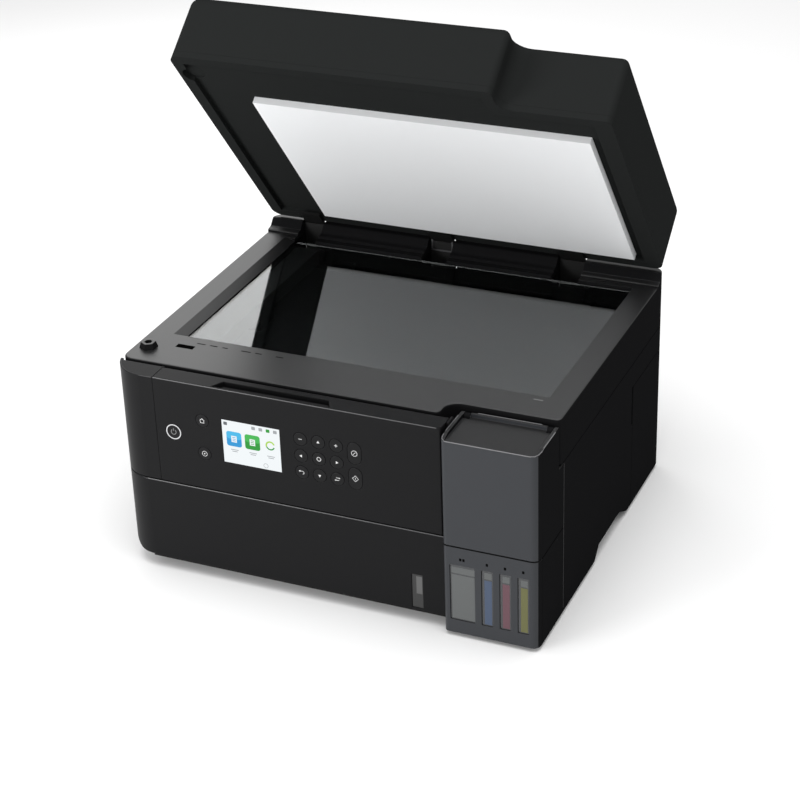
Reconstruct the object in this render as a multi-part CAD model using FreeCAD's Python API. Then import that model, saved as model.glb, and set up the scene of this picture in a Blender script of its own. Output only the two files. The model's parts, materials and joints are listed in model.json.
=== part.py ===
import FreeCAD
import Part
import math
import os

# Inkjet printer with refillable ink tanks, a flatbed scanner and a thick lid that feeds documents.
# Millimetres. X runs to the right seen from the front, Y to the back, Z up.
# The lid stands open at rest. The origin is on the floor, under the middle of the printer with its lid open.

V = FreeCAD.Vector

# Body
body_width = 390.0
body_depth = 335.0
body_height = 190.8
wall = 2.5
fit = 0.3
seam = 0.9
moving_gap = 1.4
rear_corner = 12.0
front_corner = 30.0
foot_height = 4.0
foot_radius = 9.0
foot_inset_x = 30.0
foot_inset_y = 24.0
pan_thickness = 3.0
panel_inset = 7.4
cassette_bottom = 13.2
cassette_corner = 22.0
corner_run = 60.0
panel_seam = 90.8
scanner_height = 41.8
rear_strip = 23.7
rear_wrap = 89.5
rear_face_overlap = 15.0
finger_slot_width = 3.2
finger_slot_low = 88.0
hand_recess_start = 143.5
hand_recess_length = 90.0
hand_recess_ramp = 11.0
hand_recess_drop = 22.0
hand_recess_top = 15.0
hand_recess_depth = 28.0

# Control panel
panel_left_inset = 43.6
panel_tank_gap = 2.6
shelf_depth = 20.1
panel_plate = 2.5
panel_edge_round = 1.2
panel_tilt_setback = 16.6
panel_tilt_drop = 3.6
panel_pin_radius = 1.5
panel_pin_length = 1.9
running_clearance = 0.05
recess_from_left = 54.4
recess_length = 109.0
recess_slant = 6.0
recess_lip = 2.0
recess_width = 11.0
recess_depth = 4.8
screen_from_left = 62.8
screen_width = 54.0
screen_drop = 28.3
screen_height = 40.8
screen_sink = 0.3
screen_module_depth = 5.0
screen_module_border = 3.0
key_radius = 6.2
key_proud = 0.25
key_travel = 0.8
key_gap = 0.2
key_flange = 1.4
key_flange_thickness = 1.4
key_drops = (33.3, 49.1, 64.8)
keys_from_left = (135.8, 152.0, 168.2)
side_keys_from_left = 184.5
side_key_height = 20.5
side_key_width = 12.6
side_key_drops = (37.4, 61.2)
home_from_left = 44.7
power_from_left = 16.3
power_radius = 7.4
board_setback = 10.0
board_thickness = 1.6
board_margin = 8.0
board_post_radius = 2.2

# Ink tanks
tank_width = 83.0
tank_depth = 59.8
tank_seam = 87.4
tank_front_corner = 7.0
tank_left_corner = 3.5
tank_front_wrap = 9.0
deck_height = 184.2
deck_rim = 3.0
deck_rim_width = 3.0
deck_depth = 47.5
deck_slope = 10.0
window_low = 16.6
window_high = 70.2
window_margin = 5.8
black_window_reach = 55.3
colour_window_reach = ((49.5, 39.5), (33.7, 24.0), (18.0, 8.4))
window_corner = 1.0
window_sink = 0.8
tank_block_top = 112.0
tank_wall = 2.0
port_radius = 6.0
port_bore = 4.2
port_height = 8.0
port_setback = 22.0
cap_radius = 7.2
cap_thickness = 4.0
cap_hinge_reach = 11.0
cap_pin_radius = 1.0
cap_ear = 1.6
cap_tab_width = 4.0
cover_hinge_setback = 45.0
cover_pin_radius = 1.8
cover_ear_radius = 4.0
cover_ear_width = 5.0
cover_ear_offset = 1.0

# Paper cassette
tray_left_inset = 45.0
tray_tank_gap = 34.0
tray_rear_gap = 47.6
tray_headroom = 10.0
tray_floor_gap = 1.8
cassette_plate = 3.0
level_width = 10.1
level_tank_gap = 21.7
level_low = 14.9
level_high = 47.8

# Scanner
scanner_setback = 31.0
notch_from_right = 96.0
notch_setback = 51.5
notch_corner = 12.0
scanner_corner = 10.0
bezel_thickness = 3.8
bezel_round = 1.6
glass_left_inset = 32.7
glass_right_inset = 21.7
glass_front_setback = 85.5
glass_rear_inset = 28.0
glass_tuck = 1.0
glass_thickness = 3.0
glass_border = 5.0
bevel_width = 11.0
bevel_drop = 3.2
ridge_lip_inset = 21.0
ridge_lip_height = 2.4
ridge_rear_height = 10.6
ridge_rear_round = 1.0
ridge_crest_height = 10.4
ridge_crest_inset = 9.0
ridge_dip_inset = 15.0
ridge_dip_height = 3.2
scan_head_width = 22.0
scan_head_height = 14.0
scan_head_gap = 1.5
slider_length = 30.0
scanner_axis_inset = 4.5
scanner_axis_height = 3.0
scanner_pin_radius = 2.0
scanner_lug_x = 120.0
scanner_lug_width = 10.0
scanner_chamfer = 5.0

# Lid
lid_thickness = 63.0
lid_gap = 0.3
lid_round = 9.0
lid_open_angle = 50.65
lid_front_setback = 27.5
lid_rear_setback = 26.5
lid_inner_height = 6.0
lid_rim = 11.0
lid_rim_right = 16.0
lid_plate = 2.0
rest_inset = 13.4
rest_setback = 56.1
rest_pocket_radius = 9.5
rest_pocket_depth = 5.4
hinge_inset = 3.85
hinge_drop = 17.6
hinge_pin_radius = 2.0
hinge_boss_radius = 3.6
hinge_arm = 6.0
hinge_foot = 15.0
hinge_foot_thickness = 2.6
hinge_ear = 6.0
hinge_slot_gap = 1.0
left_hinge_inset = 33.0
left_hinge_width = 20.0
right_hinge_inset = 74.0
right_hinge_width = 24.0
cable_guide_span = (-31.0, -8.0)
mat_left_inset = 59.5
mat_right_inset = 24.0
mat_rear_inset = 16.0
mat_length = 205.0
mat_proud = 2.2
feeder_split = -24.0
feeder_margin = 12.0
feeder_flap = 3.0
feeder_well = 14.0
feeder_hinge_radius = 1.2
feeder_corner = 6.0

# Print engine
engine_rear_gap = 131.5
sheet = 2.0
chassis_side_gap = 12.0
chassis_headroom = 10.55
chassis_web_height = 68.0
chassis_web_offset = 22.0
chassis_arm_reach = 92.0
rod_radius = 4.0
rod_drop = 26.0
carriage_width = 74.0
carriage_front = 56.0
carriage_rear = 8.0
carriage_height = 34.0
carriage_drop = 4.0
carriage_park_gap = 45.0
head_width = 60.0
head_depth = 40.0
head_drop = 3.6
belt_drop = 16.0
belt_width = 6.0
belt_thickness = 1.2
belt_gap = 0.2
belt_offset = 11.0
pulley_radius = 7.0
pulley_end_gap = 15.0
pulley_shaft = 1.5
motor_radius = 13.0
motor_length = 27.0
roller_drop = 46.0
roller_radius = 7.0
journal_radius = 4.0
exit_offset = 66.0
exit_radius = 6.0
pickup_offset = 49.0
pickup_drop = 62.0
pickup_radius = 10.0
pickup_shaft = 3.0
pickup_left = -75.0
pickup_right = 5.0
platen_drop = 50.0
platen_station_gap = 10.0
platen_thickness = 7.0
rib_start = 31.0
rib_end = 11.0
rib_pitch = 25.0
rib_width = 3.0
tyre_start = 53.0
tyre_pitch = 46.0
tyre_count = 6
gear_module = 1.0
gear_teeth = 40
pinion_teeth = 12
gear_width = 4.6
gear_backlash = 0.25
gear_addendum = 0.8
gear_dedendum = 1.25
pressure_angle = 20.0
pinion_direction = -100.0

# Electrics at the back
board_left_inset = 23.0
board_right = -40.0
main_board_low = 30.0
main_board_high = 112.0
main_board_gap = 14.0
usb_x = -60.0
usb_z = 44.0
usb_width = 12.0
usb_height = 11.0
usb_shell = 1.2
supply_width = 76.0
supply_right_inset = 35.0
supply_depth = 52.0
supply_height = 56.0
inlet_offset = 20.0
inlet_z = 36.0
inlet_width = 26.0
inlet_height = 17.0
inlet_shell = 2.5
inlet_depth = 14.0
station_width = 40.0
station_end_gap = 21.0
screw_radius = 3.2
screw_head = 1.8

# Places worked out from the sizes above
half = body_width / 2
scanner_seam = body_height - scanner_height
rear_seam = scanner_seam - rear_strip
lid_under = body_height + lid_gap
lid_top = lid_under + lid_thickness
hinge_z = lid_under - hinge_drop
open_cos = math.cos(math.radians(lid_open_angle))
open_sin = math.sin(math.radians(lid_open_angle))
rear_edge_back = hinge_inset - lid_rear_setback - lid_round
rear_edge_up = hinge_drop + lid_thickness - lid_round
lid_overhang = rear_edge_back * open_cos + rear_edge_up * open_sin + lid_round - hinge_inset
y_front = -(body_depth + lid_overhang) / 2
y_rear = y_front + body_depth
y_panel = y_front + panel_inset
y_shelf = y_panel + shelf_depth
y_scan = y_front + scanner_setback
y_notch = y_front + notch_setback
y_tank = y_front + tank_depth
y_deck = y_front + deck_depth
y_wrap = y_rear - rear_wrap
y_hinge = y_rear - hinge_inset
y_lid_front = y_front + lid_front_setback
y_lid_rear = y_rear - lid_rear_setback
y_engine = y_rear - engine_rear_gap
x_tank = half - tank_width
x_notch = half - notch_from_right
deck_rim_top = deck_height + deck_rim
panel_low = panel_seam + moving_gap / 2
panel_high = body_height - fit
panel_right = x_tank - panel_tank_gap
panel_axis = (y_panel + panel_tilt_setback, panel_high - panel_tilt_drop)
cover_axis = (y_front + cover_hinge_setback, deck_height)
scanner_low = scanner_seam + seam / 2
scanner_axis = (y_rear - scanner_axis_inset, scanner_low + scanner_axis_height)
glass_top = body_height - bezel_thickness
pan_top = foot_height + pan_thickness
base_top = scanner_seam - seam / 2
y_glass_front = y_front + glass_front_setback
y_glass_rear = y_rear - glass_rear_inset
port_y = y_front + port_setback
cap_axis = (port_y + cap_hinge_reach, tank_block_top + port_height + fit + cap_pin_radius)
web_y = y_engine + chassis_web_offset
belt_y = y_engine + belt_offset
key_back = y_panel + panel_plate + key_gap
panel_left = -half + panel_left_inset
recess_left = panel_left + recess_from_left
recess_right = recess_left + recess_length
screen_left = panel_left + screen_from_left
screen_right = screen_left + screen_width
screen_high = panel_high - screen_drop
screen_low = screen_high - screen_height
key_rows = tuple(panel_high - drop for drop in key_drops)
key_columns = tuple(panel_left + reach for reach in keys_from_left)
side_key_rows = tuple(panel_high - drop for drop in side_key_drops)
side_key_column = panel_left + side_keys_from_left
home_column = panel_left + home_from_left
power_column = panel_left + power_from_left
window_spans = ((x_tank + window_margin, half - black_window_reach),)
window_spans += tuple((half - far, half - near) for far, near in colour_window_reach)
glass_left = -half + glass_left_inset
glass_right = half - glass_right_inset
mat_left = -half + mat_left_inset
mat_right = half - mat_right_inset
left_hinge = -half + left_hinge_inset
right_hinge = half - right_hinge_inset
hinge_spans = ((left_hinge, left_hinge + left_hinge_width), (right_hinge - right_hinge_width, right_hinge))
chassis_half = half - chassis_side_gap
chassis_top = base_top - chassis_headroom
chassis_web_low = chassis_top - chassis_web_height
rod_height = chassis_top - rod_drop
carriage_high = chassis_top - carriage_drop
carriage_low = carriage_high - carriage_height
carriage_park = chassis_half - carriage_park_gap
belt_height = chassis_top - belt_drop
pulley_reach = chassis_half - pulley_end_gap
roller_height = chassis_top - roller_drop
pickup_height = chassis_top - pickup_drop
platen_low = chassis_top - platen_drop
platen_high = platen_low + platen_thickness
station_right = chassis_half - station_end_gap
station_left = station_right - station_width
platen_right = station_left - platen_station_gap
tray_left = -half + tray_left_inset
tray_right = x_tank - tray_tank_gap
tray_length = body_depth - panel_inset - cassette_plate - tray_rear_gap
tray_wall_height = chassis_web_low - tray_headroom - cassette_bottom - tray_floor_gap
level_right = x_tank - level_tank_gap
level_left = level_right - level_width
board_left = -half + board_left_inset
supply_right = half - supply_right_inset
supply_left = supply_right - supply_width
inlet_x = supply_left + inlet_offset


def box(x0, x1, y0, y1, z0, z1):
    return Part.makeBox(x1 - x0, y1 - y0, z1 - z0, V(x0, y0, z0))


def rod_x(x0, x1, y, z, radius):
    return Part.makeCylinder(radius, x1 - x0, V(x0, y, z), V(1, 0, 0))


def rod_y(y0, y1, x, z, radius):
    return Part.makeCylinder(radius, y1 - y0, V(x, y0, z), V(0, 1, 0))


def rod_z(z0, z1, x, y, radius):
    return Part.makeCylinder(radius, z1 - z0, V(x, y, z0), V(0, 0, 1))


def rounded_edges(points, place):
    """Edges of a closed outline whose corners are (a, b) or (a, b, radius)."""
    corners = []
    count = len(points)
    for i, corner in enumerate(points):
        here = V(corner[0], corner[1], 0)
        radius = corner[2] if len(corner) > 2 else 0.0
        if radius <= 0:
            corners.append((here, None, here))
            continue
        back = V(points[i - 1][0], points[i - 1][1], 0) - here
        ahead = V(points[(i + 1) % count][0], points[(i + 1) % count][1], 0) - here
        half_angle = back.getAngle(ahead) / 2
        back.normalize()
        ahead.normalize()
        inward = back + ahead
        inward.normalize()
        reach = radius / math.tan(half_angle)
        middle = here + inward * (radius / math.sin(half_angle) - radius)
        corners.append((here + back * reach, middle, here + ahead * reach))
    edges = []
    for i, (start, middle, end) in enumerate(corners):
        if middle is not None:
            edges.append(Part.Arc(place(start), place(middle), place(end)).toShape())
        following = corners[(i + 1) % count][0]
        if end.distanceToPoint(following) > 1e-6:
            edges.append(Part.makeLine(place(end), place(following)))
    return edges


def prism_z(points, z0, z1):
    face = Part.Face(Part.Wire(rounded_edges(points, lambda p: V(p.x, p.y, z0))))
    return face.extrude(V(0, 0, z1 - z0))


def prism_x(points, x0, x1):
    face = Part.Face(Part.Wire(rounded_edges(points, lambda p: V(x0, p.x, p.y))))
    return face.extrude(V(x1 - x0, 0, 0))


def prism_y(points, y0, y1):
    face = Part.Face(Part.Wire(rounded_edges(points, lambda p: V(p.x, y0, p.y))))
    return face.extrude(V(0, y1 - y0, 0))


def join(first, *others):
    return first.fuse(list(others)).removeSplitter()


def round_rect(x0, x1, y0, y1, radius):
    return [(x0, y0, radius), (x1, y0, radius), (x1, y1, radius), (x0, y1, radius)]


def round_edges(shape, radius, wanted):
    """Fillets the edges whose bounding box the test accepts."""
    edges = [edge for edge in shape.Edges if wanted(edge.BoundBox)]
    return shape.makeFillet(radius, edges) if edges else shape


def body_outline(inset):
    return [
        (-half + inset, y_panel + inset, front_corner - inset),
        (half - inset, y_panel + inset),
        (half - inset, y_rear - inset, rear_corner - inset),
        (-half + inset, y_rear - inset, rear_corner - inset),
    ]


def body_ring(z0, z1, thickness=wall):
    return prism_z(body_outline(0), z0, z1).cut(prism_z(body_outline(thickness), z0 - 1, z1 + 1))


def scanner_outline(inset):
    return [
        (-half + inset, y_scan + inset, scanner_corner - inset),
        (x_notch - inset, y_scan + inset, scanner_corner / 2 - inset),
        (x_notch - inset, y_notch + inset, notch_corner + inset),
        (half - inset, y_notch + inset, scanner_corner / 2 - inset),
        (half - inset, y_rear - inset, rear_corner - inset),
        (-half + inset, y_rear - inset, rear_corner - inset),
    ]


def lid_outline(inset):
    return [
        (-half + inset, y_lid_front + inset, scanner_corner - inset),
        (x_notch - inset, y_lid_front + inset, scanner_corner / 2 - inset),
        (x_notch - inset, y_notch + seam + inset, notch_corner + inset),
        (half - inset, y_notch + seam + inset, scanner_corner / 2 - inset),
        (half - inset, y_lid_rear - inset, scanner_corner - inset),
        (-half + inset, y_lid_rear - inset, scanner_corner - inset),
    ]


def tank_outline(inset):
    return [
        (x_tank + inset, y_front + inset, tank_left_corner - inset),
        (half - inset, y_front + inset, tank_front_corner - inset),
        (half - inset, y_tank - inset),
        (x_tank + inset, y_tank - inset),
    ]


def open_lid(shape):
    """Swings a piece of the closed lid up to where it stands at rest."""
    return shape.rotated(V(0, y_hinge, hinge_z), V(-1, 0, 0), lid_open_angle)


def node(name, *solids):
    shape = solids[0] if len(solids) == 1 else Part.makeCompound(list(solids))
    for solid in shape.Solids:
        if not solid.isValid():
            print("not valid:", name)
    shape.exportStep("parts/" + name + ".step")
    print(name, len(shape.Solids), round(sum(s.Volume for s in shape.Solids)))


# Base and covers

def hand_recess(x0, x1):
    start = y_front + hand_recess_start
    end = start + hand_recess_length
    below = foot_height - 1
    slope = (hand_recess_top - below) / (hand_recess_top - foot_height)
    profile = [
        (end - hand_recess_drop + slope * hand_recess_drop, below),
        (end - hand_recess_drop, hand_recess_top, 2.0),
        (start + hand_recess_ramp, hand_recess_top, 2.0),
        (start + hand_recess_ramp - slope * hand_recess_ramp, below),
    ]
    return prism_x(profile, x0, x1)


def lower_corner():
    """What the rounded lower left corner of the front takes from the pieces behind it."""
    x, z = -half + cassette_corner, cassette_bottom + cassette_corner
    end = y_scan + corner_run
    block = box(-half - 1, x, y_front, end, 0, z)
    return block.cut(rod_y(y_front - 1, end + 1, x, z, cassette_corner))


def make_base_pan():
    side = half - wall - fit
    back = y_rear - wall - fit
    pan = box(-side, side, y_panel + wall + 8, back, foot_height, pan_top)
    pan = pan.common(prism_z(body_outline(wall + fit), foot_height, pan_top))
    pan = pan.cut(box(x_tank - seam, half, y_front, y_tank + seam, foot_height - 1, pan_top + 1))
    start = y_front + hand_recess_start
    for sign in (-1, 1):
        inner = sign * (half - hand_recess_depth)
        x_in = inner - sign * wall
        x_out = sign * side
        low, high = min(x_in, x_out), max(x_in, x_out)
        block = box(low, high, start - wall, start + hand_recess_length + wall,
                    foot_height, hand_recess_top + wall)
        pan = pan.fuse(block)
        pan = pan.cut(hand_recess(min(inner, sign * half), max(inner, sign * half)))
    return pan.cut(lower_corner()).removeSplitter()


def foot_places():
    x = half - foot_inset_x
    front = y_tank + foot_inset_y
    back = y_rear - foot_inset_y
    return [(-x, front), (x, front), (-x, back), (x, back)]


def make_feet():
    feet = []
    for x, y in foot_places():
        foot = rod_z(0, foot_height, x, y, foot_radius)
        feet.append(round_edges(foot, 0.8, lambda b: b.ZMax < 0.01))
    return feet


def side_cover(sign):
    """One side panel; its rear upper part turns the corner on to the back."""
    shell = body_ring(foot_height, base_top)
    front = y_scan - 0.2 if sign < 0 else y_tank + seam
    inner = rear_face_overlap - half
    keep = box(-half - 1, inner, front, y_rear + 1, 0, body_height)
    if sign > 0:
        keep = keep.mirror(V(0, 0, 0), V(1, 0, 0))
    shell = shell.common(keep)
    low_corner = box(-half - 1, half + 1, y_wrap - seam / 2, y_rear + 1, 0, rear_seam + seam / 2)
    shell = shell.cut(low_corner)
    slot = box(-half - 1, half + 1, y_wrap - seam / 2 - finger_slot_width, y_wrap, finger_slot_low,
               rear_seam + seam)
    shell = shell.cut(slot)
    return shell.cut(hand_recess(-half - 1, half + 1))


def make_rear_cover():
    shell = body_ring(foot_height, rear_seam - seam / 2)
    shell = shell.common(box(-half - 1, half + 1, y_wrap + seam / 2, y_rear + 1, 0, body_height))
    sockets = [
        box(usb_x - usb_width / 2 - fit, usb_x + usb_width / 2 + fit, y_rear - wall - 1, y_rear + 1,
            usb_z - fit, usb_z + usb_height + fit),
        box(inlet_x - inlet_width / 2 - fit, inlet_x + inlet_width / 2 + fit, y_rear - wall - 1, y_rear + 1,
            inlet_z - inlet_height / 2 - fit, inlet_z + inlet_height / 2 + fit),
    ]
    return shell.cut(sockets)


def make_upper_case():
    outer = prism_z(body_outline(0), 0, body_height)
    wall_front = y_shelf + 0.5
    wall_back = y_scan - 0.7
    deck_low, deck_high = base_top - 2 * wall, base_top - wall
    deck = prism_z(body_outline(wall + fit), deck_low, deck_high)
    deck = deck.common(box(-half, half, wall_front, y_rear, 0, body_height))
    rear_span = half - rear_face_overlap - seam
    tongue = box(-rear_span, rear_span, y_rear - wall - 2 * fit, y_rear - wall, deck_low, deck_high)
    strip = body_ring(rear_seam + seam / 2, base_top)
    strip = strip.common(box(-rear_span, rear_span, y_rear - rear_corner, y_rear + 1, 0, body_height))
    front_wall = box(-half, panel_right + 0.4, wall_front, wall_back, deck_low, panel_high - 5)
    corner_right = panel_left - fit
    corner = body_ring(panel_low, panel_high)
    corner = corner.common(box(-half - 1, corner_right, y_panel - 1, wall_back, 0, body_height))
    shelf = outer.common(box(-half, corner_right, y_panel, y_shelf, panel_high - wall, panel_high))
    cheek = box(corner_right - wall, corner_right, y_panel + wall, wall_back, panel_low, panel_high - 1)
    post = box(panel_right + fit, x_tank - fit, panel_axis[0] - 5, wall_back, deck_low, panel_high - 0.5)
    case = join(deck, tongue, strip, front_wall.common(outer), corner, shelf, cheek, post)
    opening = box(-half + 45, half - 45, y_tank + 22, y_rear - 45, deck_low - 1, deck_high + 1)
    tank_room = box(x_tank - seam / 2, half + 1, y_front, y_tank + seam, 0, body_height)
    case = case.cut([opening, tank_room])
    hole = rod_x(corner_right - wall - 1, x_tank, panel_axis[0], panel_axis[1],
                 panel_pin_radius + running_clearance)
    case = case.cut(hole.common(join(box(corner_right - wall - 1, corner_right + 1, y_panel, y_scan, 0, body_height),
                                     box(panel_right, x_tank, y_panel, y_scan, 0, body_height))))
    for sign in (-1, 1):
        case = case.fuse(scanner_lug(sign * scanner_lug_x, deck_high))
    return case.removeSplitter()


def scanner_lug(x, low):
    y, z = scanner_axis
    ear = scanner_pin_radius + 2.2
    lug = box(x - scanner_lug_width / 2, x + scanner_lug_width / 2, y - ear, y + ear, low, z)
    lug = lug.fuse(rod_x(x - scanner_lug_width / 2, x + scanner_lug_width / 2, y, z, ear))
    bore = rod_x(x - scanner_lug_width, x + scanner_lug_width, y, z, scanner_pin_radius + running_clearance)
    return lug.cut(bore)


# Control panel

def panel_holes():
    """(name, outline in X and Z) of every key in the panel."""
    keys = []
    round_keys = [("home_key", home_column, key_rows[0], key_radius),
                  ("help_key", home_column, key_rows[2], key_radius),
                  ("power_key", power_column, key_rows[1], power_radius)]
    names = (("minus_key", "up_key", "plus_key"), ("left_key", "ok_key", "right_key"),
             ("back_key", "down_key", "swap_key"))
    for row, z in zip(names, key_rows):
        for name, x in zip(row, key_columns):
            round_keys.append((name, x, z, key_radius))
    for name, x, z, radius in round_keys:
        keys.append((name, x, z, radius, radius))
    for name, z in zip(("copy_key", "start_key"), side_key_rows):
        keys.append((name, side_key_column, z, side_key_width / 2, side_key_height / 2))
    return keys


def key_prism(x, z, half_x, half_z, grow, y0, y1):
    hx, hz = half_x + grow, half_z + grow
    if half_x == half_z:
        return rod_y(y0, y1, x, z, hx)
    return prism_y(round_rect(x - hx, x + hx, z - hz, z + hz, hx - 0.01), y0, y1)


def make_key(x, z, half_x, half_z):
    cap = key_prism(x, z, half_x, half_z, -key_gap, y_panel - key_proud, key_back + key_flange_thickness)
    cap = round_edges(cap, 0.4, lambda b: b.YMax < y_panel)
    flange = key_prism(x, z, half_x, half_z, key_flange, key_back, key_back + key_flange_thickness)
    return join(cap, flange)


def board_posts():
    left, right, low, high = board_extent()
    return [(x, z) for x in (left + 4, right - 4) for z in (low + 4, high - 4)]


def board_extent():
    return (power_column - board_margin, side_key_column + board_margin + side_key_width / 2,
            screen_low - board_margin, screen_high + board_margin)


def make_control_panel():
    top = panel_high
    face = [(panel_left, panel_low), (panel_right, panel_low), (panel_right, top, 3.0), (panel_left, top)]
    plate = prism_y(face, y_panel, y_panel + panel_plate)
    plate = round_edges(plate, panel_edge_round, lambda b: b.YMax < y_panel + 0.01 and b.ZMin > panel_low + 1
                        and b.XLength > 50)
    shelf = box(panel_left, panel_right, y_panel + panel_plate, y_shelf, top - wall, top)
    shelf = round_edges(shelf, 1.5, lambda b: b.YMin > y_shelf - 0.01 and b.ZMin > top - 0.01)
    trough_front = y_panel + recess_lip
    trough_back = trough_front + recess_width
    trough = [(recess_left, trough_front), (recess_right, trough_front),
              (recess_right - recess_slant, trough_back), (recess_left + recess_slant, trough_back)]
    basin = box(recess_left - wall, recess_right + wall, y_panel + panel_plate, trough_back + wall,
                top - recess_depth - wall, top)
    ends = [box(x, x + wall, y_panel + panel_plate, y_shelf - 6, panel_low, top)
            for x in (panel_left, panel_right - wall)]
    ears = [rod_x(x, x + wall, panel_axis[0], panel_axis[1], 3.2) for x in (panel_left, panel_right - wall)]
    pins = [rod_x(panel_left - panel_pin_length, panel_left + 1, *panel_axis, panel_pin_radius),
            rod_x(panel_right - 1, panel_right + panel_pin_length, *panel_axis, panel_pin_radius)]
    posts = [rod_y(y_panel + panel_plate, y_panel + board_setback, x, z, board_post_radius)
             for x, z in board_posts()]
    panel = join(plate, shelf, basin, *ends, *ears, *pins, *posts)
    cuts = [prism_z(trough, top - recess_depth, top + 1)]
    cuts.append(box(screen_left, screen_right, y_panel - 1, y_panel + panel_plate + 1, screen_low, screen_high))
    for name, x, z, half_x, half_z in panel_holes():
        cuts.append(key_prism(x, z, half_x, half_z, 0, y_panel - 1, y_panel + panel_plate + 1))
    return panel.cut(cuts).removeSplitter()


def make_screen():
    pane = box(screen_left + key_gap, screen_right - key_gap, y_panel + screen_sink, key_back,
               screen_low + key_gap, screen_high - key_gap)
    rim = screen_module_border
    module = box(screen_left - rim, screen_right + rim, key_back, key_back + screen_module_depth,
                 screen_low - rim, screen_high + rim)
    return join(pane, module)


def make_panel_board():
    left, right, low, high = board_extent()
    y = y_panel + board_setback
    return box(left, right, y, y + board_thickness, low, high)


# Ink tanks

def tank_lower_shell():
    low, high = foot_height, tank_seam - moving_gap / 2
    return prism_z(tank_outline(0), low, high).cut(prism_z(tank_outline(wall), low - 1, high + 1))


def make_tank_front():
    front = tank_lower_shell().common(box(x_tank - 1, half + 1, y_front - 1, y_front + tank_front_wrap, 0, tank_seam))
    windows = [prism_y(round_rect(x0, x1, window_low, window_high, window_corner), y_front - 1, y_front + wall + 1)
               for x0, x1 in window_spans]
    return front.cut(windows)


def make_tank_housing():
    start = y_front + tank_front_wrap + fit
    shell = tank_lower_shell().common(box(x_tank - 1, half + 1, start, y_tank + 1, 0, tank_seam))
    floor = box(x_tank + wall, half - wall, start, y_tank - wall, foot_height, foot_height + wall)
    stalks = []
    for x in cover_ear_places():
        y, z = cover_axis
        stalk = box(x, x + cover_ear_width, y - cover_ear_radius, y + cover_ear_radius - 1, foot_height + wall, z)
        stalk = stalk.cut(box(x - 1, x + cover_ear_width + 1, y, y + cover_ear_radius, z - 1, z + 1))
        ear = rod_x(x, x + cover_ear_width, y, z, cover_ear_radius - 1)
        bore = rod_x(x - 1, x + cover_ear_width + 1, y, z, cover_pin_radius + running_clearance)
        stalks.append(stalk.fuse(ear).cut(bore))
    return join(shell, floor, *stalks)


def cover_ear_places():
    offset = wall + cover_ear_offset
    return (x_tank + offset, half - offset - cover_ear_width)


def chamber_spans():
    """Left and right ends of the ink chambers, one behind each window."""
    middles = [(a[1] + b[0]) / 2 for a, b in zip(window_spans, window_spans[1:])]
    bounds = [x_tank + wall + fit] + middles + [half - wall - fit]
    return list(zip(bounds, bounds[1:]))


def make_ink_tank():
    spans = chamber_spans()
    front = y_front + wall + fit
    back = cover_axis[0] - cover_ear_radius - fit
    low = foot_height + wall
    block = prism_z(tank_outline(wall + fit), low, tank_block_top)
    block = block.common(box(x_tank, half, y_front, back, 0, tank_block_top + 1))
    for (left, right), (x0, x1) in zip(spans, window_spans):
        pad = round_rect(x0 + key_gap, x1 - key_gap, window_low + key_gap, window_high - key_gap, window_corner)
        block = block.fuse(prism_y(pad, y_front + window_sink, front))
        block = block.fuse(rod_z(tank_block_top, tank_block_top + port_height, (x0 + x1) / 2, port_y, port_radius))
    y, z = cap_axis
    for x0, x1 in window_spans:
        x = (x0 + x1) / 2
        for side in (-1, 1):
            ear_x = x + side * (cap_tab_width / 2 + fit + cap_ear / 2)
            ear = box(ear_x - cap_ear / 2, ear_x + cap_ear / 2, y - 2.2, y + 2.2, tank_block_top, z)
            ear = ear.fuse(rod_x(ear_x - cap_ear / 2, ear_x + cap_ear / 2, y, z, 2.2))
            block = block.fuse(ear)
        block = block.cut(rod_x(x - 6, x + 6, y, z, cap_pin_radius + running_clearance))
    for (left, right), (x0, x1) in zip(spans, window_spans):
        room = box(left + tank_wall / 2, right - tank_wall / 2, front + tank_wall, back - tank_wall,
                   low + tank_wall, tank_block_top - tank_wall)
        bore = rod_z(tank_block_top - tank_wall - 1, tank_block_top + port_height + 1, (x0 + x1) / 2, port_y,
                     port_bore)
        block = block.cut([room, bore])
    return block.removeSplitter()


def make_cap(x):
    y, z = cap_axis
    low = tank_block_top + port_height + fit
    lid = rod_z(low, low + cap_thickness, x, port_y, cap_radius)
    lid = round_edges(lid, 0.8, lambda b: b.ZMin > low + cap_thickness - 0.01)
    tab = box(x - cap_tab_width / 2, x + cap_tab_width / 2, port_y, y, low, low + 2 * cap_pin_radius)
    knuckle = rod_x(x - cap_tab_width / 2, x + cap_tab_width / 2, y, z, cap_pin_radius)
    pin = rod_x(x - cap_tab_width / 2 - cap_ear - fit, x + cap_tab_width / 2 + cap_ear + fit, y, z, cap_pin_radius)
    return join(lid, tab, knuckle, pin)


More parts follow.
